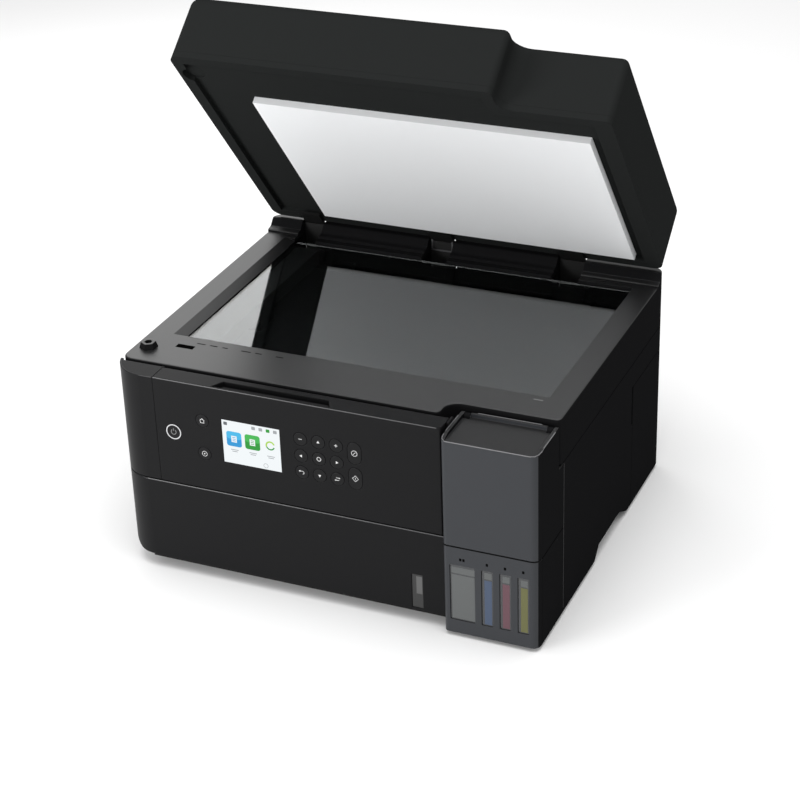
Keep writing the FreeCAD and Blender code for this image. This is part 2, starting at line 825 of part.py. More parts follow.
def make_tank_cover():
    low = tank_seam + moving_gap / 2
    outer = prism_z(tank_outline(0), low, deck_rim_top)
    step = base_top - 0.5
    profile = [(y_front - 1, low - 1), (y_tank + 1, low - 1), (y_tank + 1, step), (y_deck, step),
               (y_deck, deck_rim_top, 1.0), (y_front + deck_slope, deck_rim_top, 6.0),
               (y_front, deck_height, 1.5), (y_front - 1, deck_height - 1)]
    outer = outer.common(prism_x(profile, x_tank - 1, half + 1))
    room_outline = tank_outline(wall)
    room_outline[2] = (half - wall, y_tank + 1)
    room_outline[3] = (x_tank + wall, y_tank + 1)
    cover = outer.cut(prism_z(room_outline, low - 1, deck_height - wall))
    rim = deck_rim_width
    pocket = [(x_tank + rim, y_front - 1), (half - rim, y_front - 1), (half - rim, y_deck - rim, 4.0),
              (x_tank + rim, y_deck - rim, 4.0)]
    cover = cover.cut(prism_z(pocket, deck_height, deck_rim_top + 1))
    y, z = cover_axis
    pins = []
    for x in cover_ear_places():
        cover = cover.cut(box(x - fit, x + cover_ear_width + fit, y - cover_ear_radius - fit, y_deck + 1,
                              deck_height - wall - 1, deck_rim_top + 1))
        pins.append(rod_x(x - fit - 0.5, x + cover_ear_width + fit + 0.5, y, z, cover_pin_radius))
    return join(cover, *pins)


# Paper cassette

def make_cassette_front():
    high = panel_seam - moving_gap / 2
    shell = body_ring(cassette_bottom, high, cassette_plate)
    shell = shell.common(box(-half - 1, x_tank - seam, y_panel - 1, y_scan - seam, 0, body_height))
    face = [(-half - 1, cassette_bottom, cassette_corner), (half, cassette_bottom), (half, high), (-half - 1, high)]
    shell = shell.common(prism_y(face, y_panel - 1, y_rear))
    window = box(level_left, level_right, y_panel - 1, y_panel + cassette_plate + 1, level_low, level_high)
    return shell.cut(window)


def make_paper_cassette():
    low = cassette_bottom + tray_floor_gap
    y0 = y_panel + cassette_plate
    tray = box(tray_left, tray_right, y0, y0 + tray_length, low, low + tray_wall_height)
    room = box(tray_left + wall, tray_right - wall, y0 + wall, y0 + tray_length - wall, low + wall,
               low + tray_wall_height + 1)
    return tray.cut(room)


def make_level_window():
    gap = key_gap
    pane = box(level_left + gap, level_right - gap, y_panel + 0.6, y_panel + cassette_plate, level_low + gap,
               level_high - gap)
    back = box(level_left - 1.5, level_right + 1.5, y_panel + cassette_plate, y_panel + cassette_plate + 1.6,
               level_low + gap, level_high + 1.5)
    return join(pane, back)


# Scanner

def hinge_slot(span, low):
    x0, x1 = span
    return box(x0 - hinge_slot_gap, x1 + hinge_slot_gap, y_lid_rear - hinge_foot - 1, y_rear + 1, low, lid_top)


def hinge_slot_floor():
    return hinge_z - hinge_boss_radius - hinge_slot_gap


def make_scanner_housing():
    high = glass_top
    outer = prism_z(scanner_outline(0), scanner_low, high)
    edge = prism_x([(y_rear + 1, scanner_low - 1), (y_rear + 1, scanner_low + scanner_chamfer),
                    (y_rear - scanner_chamfer, scanner_low - 1)], -half - 1, half + 1)
    room = prism_z(scanner_outline(wall), scanner_low + wall, high + 1)
    backing = box(-half + wall, half - wall, y_rear - 2 * scanner_chamfer, y_rear - wall, scanner_low + wall,
                  scanner_low + scanner_chamfer + wall)
    housing = outer.cut(room).fuse(backing).common(outer).cut(edge)
    for stretch in scanner_top()[1:]:
        housing = housing.fuse(stretch)
    floor = hinge_slot_floor()
    y0 = y_hinge - hinge_boss_radius - 2
    for x0, x1 in hinge_spans:
        a, b = x0 - hinge_slot_gap, x1 + hinge_slot_gap
        tower = box(a - hinge_ear, b + hinge_ear, y0, y_rear - 0.2, scanner_low + wall, high - fit)
        housing = housing.fuse(tower.common(outer))
    slots = [hinge_slot(span, floor) for span in hinge_spans + (cable_guide_span,)]
    housing = housing.cut(slots)
    for x0, x1 in hinge_spans:
        reach = hinge_slot_gap + hinge_ear - 1
        housing = housing.cut(rod_x(x0 - reach, x1 + reach, y_hinge, hinge_z, hinge_pin_radius + running_clearance))
    y, z = scanner_axis
    side = scanner_lug_width / 2 + 1
    for sign in (-1, 1):
        x = sign * scanner_lug_x
        ear = scanner_pin_radius + 3.0
        cheek = box(x - side - wall, x + side + wall, y - ear - 3, y_rear - 0.2, scanner_low, z + ear + wall)
        pocket = box(x - side, x + side, y - ear - 1, y_rear + 1, scanner_low - 1, z + ear)
        housing = housing.fuse(cheek.common(outer).cut(edge)).cut(pocket)
        housing = housing.fuse(rod_x(x - side - 1, x + side + 1, y, z, scanner_pin_radius))
    return housing.removeSplitter()


def ridge_profile():
    """Section of the raised back edge: a small lip behind the glass, a dip and a rounded crest."""
    base = glass_top
    lip = y_rear - ridge_lip_inset
    top = body_height
    return [
        (lip, base), (y_rear, base), (y_rear, top + ridge_rear_height, ridge_rear_round),
        (y_rear - ridge_crest_inset, top + ridge_crest_height, 3.0),
        (y_rear - ridge_dip_inset, top + ridge_dip_height, 4.0),
        (lip + 1.2, top + ridge_lip_height), (lip, top + ridge_lip_height - 0.8),
    ]


def scanner_top():
    """The top frame, largest piece first: the bezel, then the stretches of ridge between the hinge slots."""
    frame = prism_z(scanner_outline(0), glass_top, body_height)
    frame = round_edges(frame, bezel_round, lambda b: b.ZMin > body_height - 0.01)
    outline = prism_z(scanner_outline(0), glass_top, body_height + 40)
    ridge = prism_x(ridge_profile(), -half, half).common(outline)
    frame = frame.fuse(ridge)
    opening = box(glass_left, glass_right, y_glass_front, y_glass_rear, glass_top - 1, body_height + 1)
    bevel = prism_y([(glass_left - bevel_width, body_height), (glass_left + 1, body_height - bevel_drop),
                     (glass_left + 1, body_height + 1), (glass_left - bevel_width, body_height + 1)],
                    y_glass_front, y_glass_rear)
    slots = [hinge_slot(span, glass_top - 1) for span in hinge_spans + (cable_guide_span,)]
    frame = frame.cut([opening, bevel] + slots).removeSplitter()
    return sorted(frame.Solids, key=lambda solid: -solid.Volume)


def make_scanner_bezel():
    return scanner_top()[0]


def make_scan_glass():
    b = glass_border
    return box(glass_left - b, glass_right + b, y_glass_front - b, y_glass_rear + glass_tuck,
               glass_top - glass_thickness, glass_top)


def make_scan_head():
    top = glass_top - glass_thickness - scan_head_gap
    x0 = glass_left + 4
    y_slider = (y_glass_front + y_glass_rear) / 2
    bar = box(x0, x0 + scan_head_width, y_glass_front, y_glass_rear - 4, top - scan_head_height, top)
    slider = box(x0 + 3, x0 + scan_head_width - 3, y_slider - slider_length / 2, y_slider + slider_length / 2,
                 scanner_low + wall + fit, top - scan_head_height)
    return join(bar, slider)


# Lid, drawn shut and then swung open

def rest_pocket():
    """Room in the lid for the boss at the left front of the scanner's top."""
    return rod_z(lid_under - 1, lid_under + rest_pocket_depth, -half + rest_inset, y_front + rest_setback,
                 rest_pocket_radius)


def make_lid_inner():
    low, high = lid_under, lid_under + lid_inner_height
    rim = prism_z(lid_outline(0), low, high)
    room = [(-half + lid_rim, y_lid_front + lid_rim), (x_notch - lid_rim, y_lid_front + lid_rim),
            (x_notch - lid_rim, y_notch + seam + lid_rim, notch_corner),
            (half - lid_rim_right, y_notch + seam + lid_rim), (half - lid_rim_right, y_lid_rear - lid_rim),
            (-half + lid_rim, y_lid_rear - lid_rim)]
    return rim.cut(prism_z(room, low - 1, high - lid_plate))


def make_document_mat():
    rear = y_lid_rear - mat_rear_inset
    high = lid_under + lid_inner_height - lid_plate
    return box(mat_left, mat_right, rear - mat_length, rear, lid_under - mat_proud, high)


def feeder_spans():
    return ((-half + feeder_margin, feeder_split - seam / 2), (feeder_split + seam / 2, half - feeder_margin))


def feeder_front():
    return y_notch + seam + feeder_margin


def feeder_rear():
    return y_lid_rear - feeder_margin


def make_lid_shell():
    low = lid_under + lid_inner_height
    outer = prism_z(lid_outline(0), low, lid_top)
    rounded = round_edges(outer, lid_round, lambda b: b.ZMin > lid_top - 0.01 and b.YMin > y_notch + 20
                          and b.XLength > 50)
    room = prism_z(lid_outline(wall), low - 1, lid_top - feeder_flap - feeder_well - wall)
    shell = rounded.cut(room)
    for x0, x1 in feeder_spans():
        flap = [(x0 - fit, feeder_front() - fit), (x1 + fit, feeder_front() - fit, feeder_corner + fit),
                (x1 + fit, feeder_rear() + fit, feeder_corner + fit), (x0 - fit, feeder_rear() + fit)]
        shell = shell.cut(prism_z(flap, lid_top - feeder_flap - fit, lid_top + 1))
        well = round_rect(x0 + feeder_margin, x1 - feeder_margin, feeder_front() + feeder_margin,
                          feeder_rear() - feeder_margin, feeder_corner)
        shell = shell.cut(prism_z(well, lid_top - feeder_flap - feeder_well, lid_top + 1))
    for x0, x1 in feeder_spans():
        x, z = feeder_axis(x0)
        for y0, y1 in feeder_pins():
            shell = shell.cut(rod_y(y0, y1, x, z, feeder_hinge_radius + running_clearance))
    return shell.removeSplitter()


def feeder_axis(x0):
    return x0 + feeder_hinge_radius + 0.6, lid_top - feeder_flap / 2


def feeder_pins():
    reach = 4.0
    return ((feeder_front() - fit - reach, feeder_front() + 1), (feeder_rear() - 1, feeder_rear() + fit + reach))


def make_feeder_flap(x0, x1):
    low = lid_top - feeder_flap
    outline = [(x0, feeder_front()), (x1, feeder_front(), feeder_corner), (x1, feeder_rear(), feeder_corner),
               (x0, feeder_rear())]
    flap = prism_z(outline, low, lid_top)
    x, z = feeder_axis(x0)
    edge = box(x0 - 1, x, feeder_front() - 1, feeder_rear() + 1, low - 1, lid_top + 1)
    edge = edge.cut(rod_y(feeder_front() - 1, feeder_rear() + 1, x, z, feeder_flap / 2))
    flap = flap.cut(edge)
    pins = [rod_y(y0 + 0.3, y1 - 0.3, x, z, feeder_hinge_radius) for y0, y1 in feeder_pins()]
    return join(flap, *pins)


def hinge_leg(span, pin):
    x0, x1 = span
    under = lid_under
    foot_front = y_lid_rear - hinge_foot
    t = hinge_foot_thickness
    foot = box(x0, x1, foot_front, y_lid_rear + t, under - t, under)
    rise = math.atan2(under - t / 2 - hinge_z, y_lid_rear + t - y_hinge)
    across = V(0, -math.sin(rise), math.cos(rise)) * (hinge_arm / 2)
    along = V(0, math.cos(rise), math.sin(rise))
    reach = math.hypot(under - t / 2 - hinge_z, y_lid_rear + t - y_hinge)
    root = V(x0, y_hinge, hinge_z)
    ends = [root - across, root + across, root + along * reach + across, root + along * reach - across]
    arm = Part.Face(Part.makePolygon(ends + ends[:1])).extrude(V(x1 - x0, 0, 0))
    clear = box(x0 - 1, x1 + 1, foot_front - 20, y_lid_rear, under, under + 40)
    leg = join(foot, arm.cut(clear), rod_x(x0, x1, y_hinge, hinge_z, hinge_boss_radius))
    leg = leg.cut(box(x0 - 1, x1 + 1, foot_front - 30, foot_front, 0, lid_top))
    if pin:
        reach = hinge_slot_gap + hinge_ear - 2
        leg = leg.fuse(rod_x(x0 - reach, x1 + reach, y_hinge, hinge_z, hinge_pin_radius))
    return leg.removeSplitter()


def make_lid_hinges():
    return [open_lid(hinge_leg(span, True)) for span in hinge_spans] + [open_lid(hinge_leg(cable_guide_span, False))]


# Print engine

def make_chassis():
    side = chassis_half
    front = y_engine - chassis_arm_reach
    back = web_y + sheet
    parts = [box(-side, side, web_y, back, chassis_web_low, chassis_top),
             box(-side, side, web_y - 14, back, chassis_top - sheet, chassis_top)]
    for x in (-side, side - sheet):
        parts.append(box(x, x + sheet, front, back, hand_recess_top + wall, chassis_top))
    arm_back = y_engine + pickup_offset + pickup_shaft + 3
    for x in (pickup_left - sheet, pickup_right):
        parts.append(box(x, x + sheet, web_y, arm_back, chassis_web_low, chassis_web_low + 16))
    frame = join(*parts)
    holes = []
    for y, z, radius in ((y_engine, roller_height, journal_radius),
                         (y_engine - exit_offset, roller_height, journal_radius)):
        holes.append(rod_x(-side - 1, side + 1, y, z, radius + running_clearance))
    holes.append(rod_x(pickup_left - 4, pickup_right + 4, y_engine + pickup_offset, pickup_height,
                       pickup_shaft + running_clearance))
    holes.append(rod_y(web_y - 1, back + 1, pulley_reach, belt_height, pulley_shaft + running_clearance))
    holes.append(rod_y(web_y - 1, back + 1, -pulley_reach, belt_height, pulley_shaft + running_clearance))
    y, z = pinion_centre()
    holes.append(rod_x(-side - 1, -side + sheet + 1, y, z, pulley_shaft + running_clearance))
    guide = rod_x(-side + sheet, side - sheet, y_engine, rod_height, rod_radius)
    return [frame.cut(holes), guide]


def carriage_extent():
    return carriage_park - carriage_width / 2, carriage_park + carriage_width / 2


def make_carriage():
    x0, x1 = carriage_extent()
    y0, y1 = y_engine - carriage_front, y_engine + carriage_rear
    body = box(x0, x1, y0, y1, carriage_low, carriage_high)
    body = round_edges(body, 4.0, lambda b: b.ZLength > 20 and b.YMax < y0 + 1)
    pocket = box(x0 + wall, x1 - wall, y0 + wall, y1 - 2 * carriage_rear, carriage_low + 14, carriage_high + 1)
    head_room = box(carriage_park - head_width / 2 - fit, carriage_park + head_width / 2 + fit, y0 + 5,
                    y0 + 5 + head_depth + 2 * fit, carriage_low - 1, carriage_low + 6)
    bore = rod_x(x0 - 1, x1 + 1, y_engine, rod_height, rod_radius + running_clearance)
    upper = belt_height + pulley_radius + belt_gap
    clip_top = upper + belt_thickness + 3
    clip = box(carriage_park - 10, carriage_park + 10, y1, belt_y + belt_width - 1, upper - 4, clip_top)
    clip_slot = box(carriage_park - 11, carriage_park + 11, belt_y - 2 * fit, belt_y + belt_width, upper - 0.6,
                    upper + belt_thickness + 0.6)
    clip = clip.cut(clip_slot)
    return join(body, clip).cut([pocket, head_room, bore]).removeSplitter()


def make_print_head():
    y0 = y_engine - carriage_front + 5 + fit
    x0, x1 = carriage_park - head_width / 2, carriage_park + head_width / 2
    return box(x0, x1, y0, y0 + head_depth, carriage_low - head_drop, carriage_low + 6)


def make_belt():
    def loop(radius):
        return round_rect(-pulley_reach - radius, pulley_reach + radius, belt_height - radius,
                          belt_height + radius, radius - 0.001)
    inner = pulley_radius + belt_gap
    outer = prism_y(loop(inner + belt_thickness), belt_y, belt_y + belt_width)
    return outer.cut(prism_y(loop(inner), belt_y - 1, belt_y + belt_width + 1))


def make_pulley(x, shaft_back):
    wheel = rod_y(belt_y, belt_y + belt_width, x, belt_height, pulley_radius)
    shaft = rod_y(belt_y - 2, shaft_back, x, belt_height, pulley_shaft)
    return join(wheel, shaft)


def pinion_centre():
    reach = gear_module * (gear_teeth + pinion_teeth) / 2 + 0.1
    angle = math.radians(pinion_direction)
    return y_engine + reach * math.cos(angle), roller_height + reach * math.sin(angle)


def make_motors():
    carriage_motor = rod_y(web_y + sheet, web_y + sheet + motor_length, pulley_reach, belt_height, motor_radius)
    carriage_motor = carriage_motor.cut(rod_y(web_y, web_y + sheet + motor_length - 4, pulley_reach, belt_height,
                                              pulley_shaft + running_clearance))
    y, z = pinion_centre()
    x0 = -chassis_half + sheet
    feed_motor = rod_x(x0, x0 + motor_length, y, z, motor_radius)
    feed_motor = feed_motor.cut(rod_x(x0 - 1, x0 + motor_length - 4, y, z, pulley_shaft + running_clearance))
    return [carriage_motor, feed_motor]


def involute(angle):
    return math.tan(angle) - angle


def make_gear(teeth, x0, y, z, phase):
    """Spur gear on a shaft along X; a tooth points along phase, in degrees from Y towards Z."""
    pitch = gear_module * teeth / 2
    alpha = math.radians(pressure_angle)
    base = pitch * math.cos(alpha)
    tip = pitch + gear_addendum * gear_module
    root = pitch - gear_dedendum * gear_module
    half_tooth = math.pi / (2 * teeth) - gear_backlash / (2 * pitch)
    start = max(base, root)
    radii = [start + (tip - start) * k / 4 for k in range(5)]
    flank = [(root, half_tooth + involute(alpha))] if root < base else []
    flank += [(r, half_tooth + involute(alpha) - involute(math.acos(min(1.0, base / r)))) for r in radii]
    points = []
    for k in range(teeth):
        centre = math.radians(phase) + 2 * math.pi * k / teeth
        ordered = [(r, -a) for r, a in flank] + [(r, a) for r, a in reversed(flank)]
        for r, a in ordered:
            points.append(V(x0, y + r * math.cos(centre + a), z + r * math.sin(centre + a)))
    return Part.Face(Part.makePolygon(points + points[:1])).extrude(V(gear_width, 0, 0))


def make_feed_roller():
    side = chassis_half
    roller = rod_x(-side + sheet + 2, side - sheet - 2, y_engine, roller_height, roller_radius)
    shaft = rod_x(-side - 1.2 - gear_width, side + 3, y_engine, roller_height, journal_radius)
    gear = make_gear(gear_teeth, -side - 0.8 - gear_width, y_engine, roller_height, pinion_direction)
    return join(roller, shaft, gear)


def make_pinion():
    y, z = pinion_centre()
    side = chassis_half
    phase = pinion_direction + 180.0 + 180.0 / pinion_teeth
    gear = make_gear(pinion_teeth, -side - 0.8 - gear_width, y, z, phase)
    shaft = rod_x(-side - 1.2 - gear_width, -side + sheet + motor_length - 6, y, z, pulley_shaft)
    return join(gear, shaft)


def make_exit_roller():
    y = y_engine - exit_offset
    side = chassis_half
    shaft = rod_x(-side - 3, side + 3, y, roller_height, journal_radius)
    tyres = [rod_x(x - 6, x + 6, y, roller_height, exit_radius)
             for x in (-side + tyre_start + k * tyre_pitch for k in range(tyre_count))]
    return join(shaft, *tyres)


def make_pickup_roller():
    y = y_engine + pickup_offset
    shaft = rod_x(pickup_left - 5, pickup_right + 5, y, pickup_height, pickup_shaft)
    middle = (pickup_left + pickup_right) / 2
    tyres = [rod_x(middle + x - 9, middle + x + 9, y, pickup_height, pickup_radius) for x in (-20, 20)]
    return join(shaft, *tyres)


def make_platen():
    y0 = y_engine - exit_offset + exit_radius + 2
    y1 = y_engine - roller_radius - 2
    left = -chassis_half + sheet
    body = box(left, platen_right, y0, y1, platen_low, platen_high - 2)
    count = int((platen_right - left - rib_start - rib_end) // rib_pitch) + 1
    ribs = [box(x, x + rib_width, y0 + 4, y1 - 4, platen_high - 2, platen_high)
            for x in (left + rib_start + k * rib_pitch for k in range(count))]
    return join(body, *ribs)


def make_station():
    y0, y1 = y_engine - 54, y_engine - 12
    body = box(station_left, station_right, y0, y1, pan_top, roller_height - 2)
    pads = [box(x, x + 18, y0 + 6, y1 - 6, roller_height - 2, roller_height + 2) for x in
            (station_left + 6, station_left + 30)]
    return join(body, *pads)


# Electrics

def make_main_board():
    back = y_rear - wall
    y0 = back - main_board_gap - board_thickness
    face = y0 + board_thickness
    board = box(board_left, board_right, y0, face, main_board_low, main_board_high)
    posts = [rod_y(face, back, x, z, 3.0) for x in (board_left + 6, board_right - 6)
             for z in (main_board_low + 5, main_board_high - 5)]
    chips = [box(board_left + 30 + k * 30, board_left + 50 + k * 30, y0 - 3, y0, 70, 88) for k in range(3)]
    socket = box(usb_x - usb_width / 2, usb_x + usb_width / 2, face, y_rear - 0.5, usb_z, usb_z + usb_height)
    room = box(usb_x - usb_width / 2 + usb_shell, usb_x + usb_width / 2 - usb_shell, face + 2, y_rear + 1,
               usb_z + usb_shell, usb_z + usb_height - usb_shell)
    return join(board, *posts, *chips, socket.cut(room))


def make_power_supply():
    back = y_rear - wall - fit
    case = box(supply_left, supply_right, back - supply_depth, back, pan_top, pan_top + supply_height)
    half_w, half_h = inlet_width / 2, inlet_height / 2
    socket = box(inlet_x - half_w, inlet_x + half_w, back, y_rear - 0.5, inlet_z - half_h, inlet_z + half_h)
    shell = inlet_shell
    room = prism_y(round_rect(inlet_x - half_w + shell, inlet_x + half_w - shell, inlet_z - half_h + shell,
                              inlet_z + half_h - shell, 4.0), y_rear - inlet_depth, y_rear + 1)
    pins = [rod_y(y_rear - inlet_depth - 1, y_rear - 4, inlet_x + s * 5.5, inlet_z, 1.2) for s in (-1, 1)]
    return join(join(case, socket).cut(room), *pins)


def make_screws():
    """Round-headed screws: two in the back of the rear cover on each side, and one on each chassis foot."""
    screws = []
    for x in (-half + 30, half - 30):
        for z in (rear_seam - 12, foot_height + 22):
            head = rod_y(y_rear, y_rear + screw_head, x, z, screw_radius)
            screws.append(round_edges(head, 0.8, lambda b: b.YMin > y_rear + screw_head - 0.01))
    return screws


os.makedirs("parts", exist_ok=True)
node("base_pan", make_base_pan())
node("rubber_feet", *make_feet())
node("left_side_cover", side_cover(-1).cut(lower_corner()))
node("right_side_cover", side_cover(1))
node("rear_cover", make_rear_cover())
node("upper_case", make_upper_case())
node("case_screws", *make_screws())
node("control_panel", make_control_panel())
node("lcd_display", make_screen())
node("panel_board", make_panel_board())
for key_name, key_x, key_z, key_half_x, key_half_z in panel_holes():
    node(key_name, make_key(key_x, key_z, key_half_x, key_half_z))
node("tank_front", make_tank_front())
node("tank_housing", make_tank_housing())
node("ink_tank", make_ink_tank())
for colour, (window_left, window_right) in zip(("black", "cyan", "magenta", "yellow"), window_spans):
    node("cap_" + colour, make_cap((window_left + window_right) / 2))
node("tank_cover", make_tank_cover())
node("cassette_front", make_cassette_front())
node("paper_cassette", make_paper_cassette())
node("level_window", make_level_window())
node("scanner_housing", make_scanner_housing())
node("scanner_bezel", make_scanner_bezel())
node("scan_glass", make_scan_glass())
node("scan_head", make_scan_head())
node("lid_inner", open_lid(make_lid_inner().cut(rest_pocket())))
node("document_mat", open_lid(make_document_mat()))
node("lid_shell", open_lid(make_lid_shell()))
for flap_name, (flap_left, flap_right) in zip(("feeder_cover", "feeder_tray"), feeder_spans()):
    node(flap_name, open_lid(make_feeder_flap(flap_left, flap_right)))
node("lid_hinges", *make_lid_hinges())
node("chassis_frame", *make_chassis())
node("carriage", make_carriage())
node("print_head", make_print_head())
node("drive_belt", make_belt())
node("drive_motors", *make_motors())
node("motor_pulley", make_pulley(pulley_reach, web_y + sheet + motor_length - 6))
node("idler_pulley", make_pulley(-pulley_reach, web_y + sheet + 2))
node("feed_roller", make_feed_roller())
node("feed_pinion", make_pinion())
node("platen", make_platen())
node("exit_roller", make_exit_roller())
node("pickup_roller", make_pickup_roller())
node("maintenance_station", make_station())
node("main_board", make_main_board())
node("power_supply", make_power_supply())
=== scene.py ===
"""Finishes, printed and lit trim, camera, light and floor of the inkjet printer."""
import json
import math

import bmesh
import bpy
from mathutils import Matrix, Vector


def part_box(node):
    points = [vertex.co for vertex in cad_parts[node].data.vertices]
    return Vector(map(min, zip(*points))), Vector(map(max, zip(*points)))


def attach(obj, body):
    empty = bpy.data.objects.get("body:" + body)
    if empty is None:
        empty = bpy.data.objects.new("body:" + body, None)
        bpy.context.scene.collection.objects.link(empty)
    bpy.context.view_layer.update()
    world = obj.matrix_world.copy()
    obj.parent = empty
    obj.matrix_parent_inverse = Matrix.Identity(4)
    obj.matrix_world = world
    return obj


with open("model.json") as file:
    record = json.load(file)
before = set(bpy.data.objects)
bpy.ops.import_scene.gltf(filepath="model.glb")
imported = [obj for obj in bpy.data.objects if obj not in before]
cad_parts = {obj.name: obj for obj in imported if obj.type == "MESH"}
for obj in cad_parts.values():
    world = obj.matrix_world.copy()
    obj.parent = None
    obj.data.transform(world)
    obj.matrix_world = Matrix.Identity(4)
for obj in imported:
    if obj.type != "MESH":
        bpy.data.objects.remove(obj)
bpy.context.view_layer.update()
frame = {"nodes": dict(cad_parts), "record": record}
nodes = frame["nodes"]

MM = 0.001
FULL_TURN = 360.0


# Materials

BEVEL_SAMPLES = 6
SOFT_EDGE, WIDE_EDGE = 0.0008, 0.0011
FINE_GRAIN, GRAIN_SCALE, GRAIN_DETAIL, GRAIN_DEPTH = 0.1, 900.0, 2.0, 0.0002
FACING_LIMIT = 0.8
CLEAR_IOR = 1.5
DULL_BLACK = (0.009, 0.009, 0.0095)


def material(name, colour, roughness, metallic=0.0, specular=0.5, edge=0.0, grain=0.0):
    """A plain principled finish; edge softens the look of sharp edges, grain adds a fine moulded texture."""
    made = bpy.data.materials.new(name)
    made.use_nodes = True
    tree = made.node_tree
    shader = tree.nodes["Principled BSDF"]
    shader.inputs["Base Color"].default_value = (*colour, 1.0)
    shader.inputs["Roughness"].default_value = roughness
    shader.inputs["Metallic"].default_value = metallic
    shader.inputs["Specular IOR Level"].default_value = specular
    normal = None
    if edge:
        bevel = tree.nodes.new("ShaderNodeBevel")
        bevel.samples = BEVEL_SAMPLES
        bevel.inputs["Radius"].default_value = edge
        normal = bevel.outputs["Normal"]
    if grain:
        noise = tree.nodes.new("ShaderNodeTexNoise")
        noise.inputs["Scale"].default_value = GRAIN_SCALE
        noise.inputs["Detail"].default_value = GRAIN_DETAIL
        place = tree.nodes.new("ShaderNodeTexCoord")
        tree.links.new(place.outputs["Object"], noise.inputs["Vector"])
        bump = tree.nodes.new("ShaderNodeBump")
        bump.inputs["Strength"].default_value = grain
        bump.inputs["Distance"].default_value = GRAIN_DEPTH
        tree.links.new(noise.outputs["Fac"], bump.inputs["Height"])
        if normal:
            tree.links.new(normal, bump.inputs["Normal"])
        normal = bump.outputs["Normal"]
    if normal:
        tree.links.new(normal, shader.inputs["Normal"])
    return made


def by_facing(made, axis, colour, specular):
    """Faces that look along an axis of the piece itself, to its right or up, take another colour and shine.
    This gives a real black side, and painted light and shade on faces that look up.
    """
    tree = made.node_tree
    shader = tree.nodes["Principled BSDF"]
    facing = tree.nodes.new("ShaderNodeTexCoord")
    split = tree.nodes.new("ShaderNodeSeparateXYZ")
    side = tree.nodes.new("ShaderNodeMath")
    side.operation = "GREATER_THAN"
    side.inputs[1].default_value = FACING_LIMIT
    mix = tree.nodes.new("ShaderNodeMixRGB")
    mix.inputs["Color2"].default_value = (*colour, 1.0)
    shine = tree.nodes.new("ShaderNodeMixRGB")
    shine.inputs["Color2"].default_value = (specular, specular, specular, 1.0)
    tree.links.new(facing.outputs["Normal"], split.inputs["Vector"])
    tree.links.new(split.outputs[axis], side.inputs[0])
    for blend, socket in ((mix, "Base Color"), (shine, "Specular IOR Level")):
        tree.links.new(side.outputs["Value"], blend.inputs["Fac"])
        before = shader.inputs[socket]
        if before.is_linked:
            tree.links.new(before.links[0].from_socket, blend.inputs["Color1"])
        elif socket == "Base Color":
            blend.inputs["Color1"].default_value = before.default_value
        else:
            blend.inputs["Color1"].default_value = (before.default_value,) * 3 + (1.0,)
        tree.links.new(blend.outputs["Color"], before)


def glowing(name, colour, strength=1.0):
    """A dark pane that gives off light of its own."""
    made = material(name, (0.01, 0.01, 0.01), 0.4, specular=0.2)
    shader = made.node_tree.nodes["Principled BSDF"]
    shader.inputs["Emission Color"].default_value = (*colour, 1.0)
    shader.inputs["Emission Strength"].default_value = strength
    return made


def clear(name, colour, roughness, transmission):
    """A finish that lets light through."""
    made = material(name, colour, roughness)
    shader = made.node_tree.nodes["Principled BSDF"]
    shader.inputs["Transmission Weight"].default_value = transmission
    shader.inputs["IOR"].default_value = CLEAR_IOR
    return made


case_black = material("case_black", DULL_BLACK, 0.5, specular=0.0, edge=SOFT_EDGE, grain=FINE_GRAIN)
front_black = material("front_black", (0.0055, 0.0055, 0.006), 0.45, specular=0.1, edge=WIDE_EDGE,
                       grain=FINE_GRAIN)
top_black = material("top_black", DULL_BLACK, 0.4, specular=0.0, edge=SOFT_EDGE, grain=FINE_GRAIN)
# Faces that look up take a slightly lighter black, a painted highlight, and more shine.
by_facing(top_black, "Z", (0.01, 0.01, 0.0105), 0.7)
lid_black = material("lid_black", (0.016, 0.017, 0.0168), 0.5, specular=0.0, edge=SOFT_EDGE, grain=FINE_GRAIN)
inner_black = material("inner_black", (0.006, 0.006, 0.006), 0.6, specular=0.2)
key_black = material("key_black", (0.005, 0.005, 0.0055), 0.4, specular=0.14)
tank_grey = material("tank_grey", (0.033, 0.035, 0.039), 0.4, specular=0.18, edge=WIDE_EDGE, grain=FINE_GRAIN)
by_facing(tank_grey, "X", DULL_BLACK, 0.0)
# Faces that look up take a darker grey: painted shade on the deck.
by_facing(tank_grey, "Z", (0.012, 0.012, 0.0125), 0.3)
# Paler greys for thin beads and plates: painted highlights along edges, and painted light on the recess floor.
edge_grey = material("edge_grey", (0.05, 0.05, 0.052), 0.35)
edge_bright = material("edge_bright", (0.15, 0.15, 0.155), 0.35)
edge_dark = material("edge_dark", (0.022, 0.022, 0.023), 0.4, specular=0.3)
window_grey = material("window_grey", (0.03, 0.03, 0.03), 0.3, specular=0.3)
window_pale = material("window_pale", (0.085, 0.085, 0.085), 0.3, specular=0.4)
mat_white = material("mat_white", (0.78, 0.79, 0.8), 0.5, specular=0.25)
rubber = material("rubber", (0.015, 0.015, 0.015), 0.8, specular=0.2)
steel = material("steel", (0.55, 0.55, 0.56), 0.35, metallic=1.0)
board_green = material("board_green", (0.02, 0.12, 0.05), 0.45)
